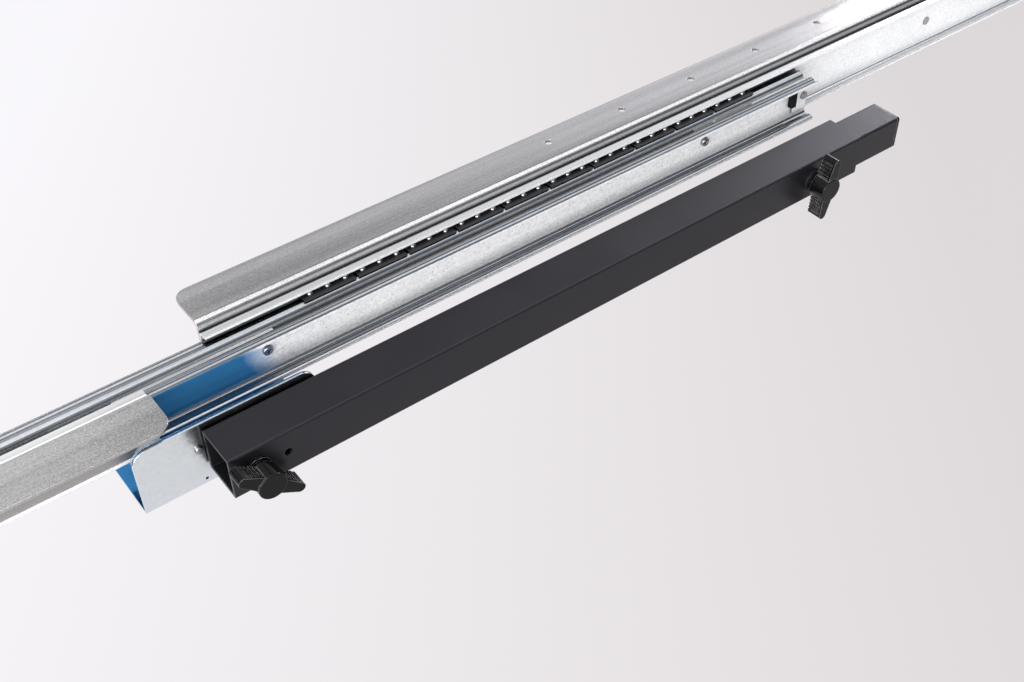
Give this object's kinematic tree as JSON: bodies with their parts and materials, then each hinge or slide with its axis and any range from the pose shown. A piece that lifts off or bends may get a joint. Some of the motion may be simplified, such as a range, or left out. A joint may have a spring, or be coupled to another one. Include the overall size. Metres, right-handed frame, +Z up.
{
  "type": "table extension slide",
  "caption": "Ball-bearing slide for an extending table, with flanged outer rails, a double centre rail and a telescopic support leg that folds down from a bracket.",
  "frame": {"origin": "in the plane of the two flanges' tops, above the leg pivot, midway between the inner rails", "axes": "+X along the rails towards the rear rail's far end, +Y to the rear rail, +Z up to the table top"},
  "size_m": [2.006, 0.1308, 0.071],
  "materials": {
    "zinc_sheet": "galvanised, satin",
    "flange_steel": "galvanised, dull",
    "fastener_zinc": "zinc plated",
    "ball_steel": "polished",
    "cage_plastic": "moulded, matte",
    "bumper_rubber": "matte",
    "tube_black": "powder coat, satin",
    "knob_plastic": "moulded, fine grain",
    "insert_brass": "turned"
  },
  "bodies": {
    "rear_rail": {"rear_channel": "zinc_sheet", "rear_flange": "flange_steel", "rear_flange_rivets": "fastener_zinc"},
    "centre_rail": {"left_end_spacer": "zinc_sheet", "right_end_spacer": "zinc_sheet", "hanger_plate": "zinc_sheet", "web_screws": "fastener_zinc", "web_nuts": "fastener_zinc", "rear_inner_rail": "zinc_sheet", "rear_stop_plate": "zinc_sheet", "rear_stop_bumper": "bumper_rubber", "rear_stop_rivet": "fastener_zinc", "front_inner_rail": "zinc_sheet", "front_stop_plate": "zinc_sheet", "front_stop_bumper": "bumper_rubber", "front_stop_rivet": "fastener_zinc", "leg_bracket": "zinc_sheet", "locating_stud": "fastener_zinc", "pivot_bolt": "fastener_zinc", "pivot_spacer": "fastener_zinc", "pivot_washer": "knob_plastic"},
    "front_rail": {"front_channel": "zinc_sheet", "front_flange": "flange_steel", "front_flange_rivets": "fastener_zinc"},
    "rear_cages": {"rear_upper_cage": "cage_plastic", "rear_upper_balls": "ball_steel", "rear_lower_cage": "cage_plastic", "rear_lower_balls": "ball_steel"},
    "front_cages": {"front_upper_cage": "cage_plastic", "front_upper_balls": "ball_steel", "front_lower_cage": "cage_plastic", "front_lower_balls": "ball_steel"},
    "leg": {"outer_tube": "tube_black", "clamp_nut": "tube_black"},
    "leg_inner": {"inner_tube": "tube_black", "foot_cap": "knob_plastic"},
    "pivot_knob": {"pivot_knob": "knob_plastic", "pivot_insert": "insert_brass"},
    "clamp_knob": {"clamp_knob": "knob_plastic", "clamp_stud": "fastener_zinc"}
  },
  "joints": [
    {"name": "centre_slide", "type": "slide", "parent": "rear_rail", "child": "centre_rail", "axis": [1, 0, 0], "range_m": [-0.022, 0.502]},
    {"name": "rear_cage_slide", "type": "slide", "parent": "rear_rail", "child": "rear_cages", "axis": [1, 0, 0], "range_m": [-0.011, 0.251]},
    {"name": "front_slide", "type": "slide", "parent": "centre_rail", "child": "front_rail", "axis": [1, 0, 0], "range_m": [0, 0.524]},
    {"name": "front_cage_slide", "type": "slide", "parent": "centre_rail", "child": "front_cages", "axis": [1, 0, 0], "range_m": [0, 0.262]},
    {"name": "leg_fold", "type": "hinge", "parent": "centre_rail", "child": "leg", "pos_m": [0, -0.0493, -0.042], "axis": [0, 1, 0], "range_deg": [0, 90]},
    {"name": "leg_extend", "type": "slide", "parent": "leg", "child": "leg_inner", "axis": [1, 0, 0], "range_m": [-0.028, 0.3]},
    {"name": "pivot_knob_turn", "type": "hinge", "parent": "centre_rail", "child": "pivot_knob", "pos_m": [0, -0.0493, -0.042], "axis": [0, -1, 0], "continuous": true},
    {"name": "clamp_knob_turn", "type": "hinge", "parent": "leg", "child": "clamp_knob", "pos_m": [0.4347, -0.0493, -0.042], "axis": [0, -1, 0], "continuous": true}
  ],
  "couplings": [
    {"joint": "rear_cage_slide", "follows": "centre_slide", "ratio": 0.5},
    {"joint": "front_cage_slide", "follows": "front_slide", "ratio": 0.5}
  ]
}
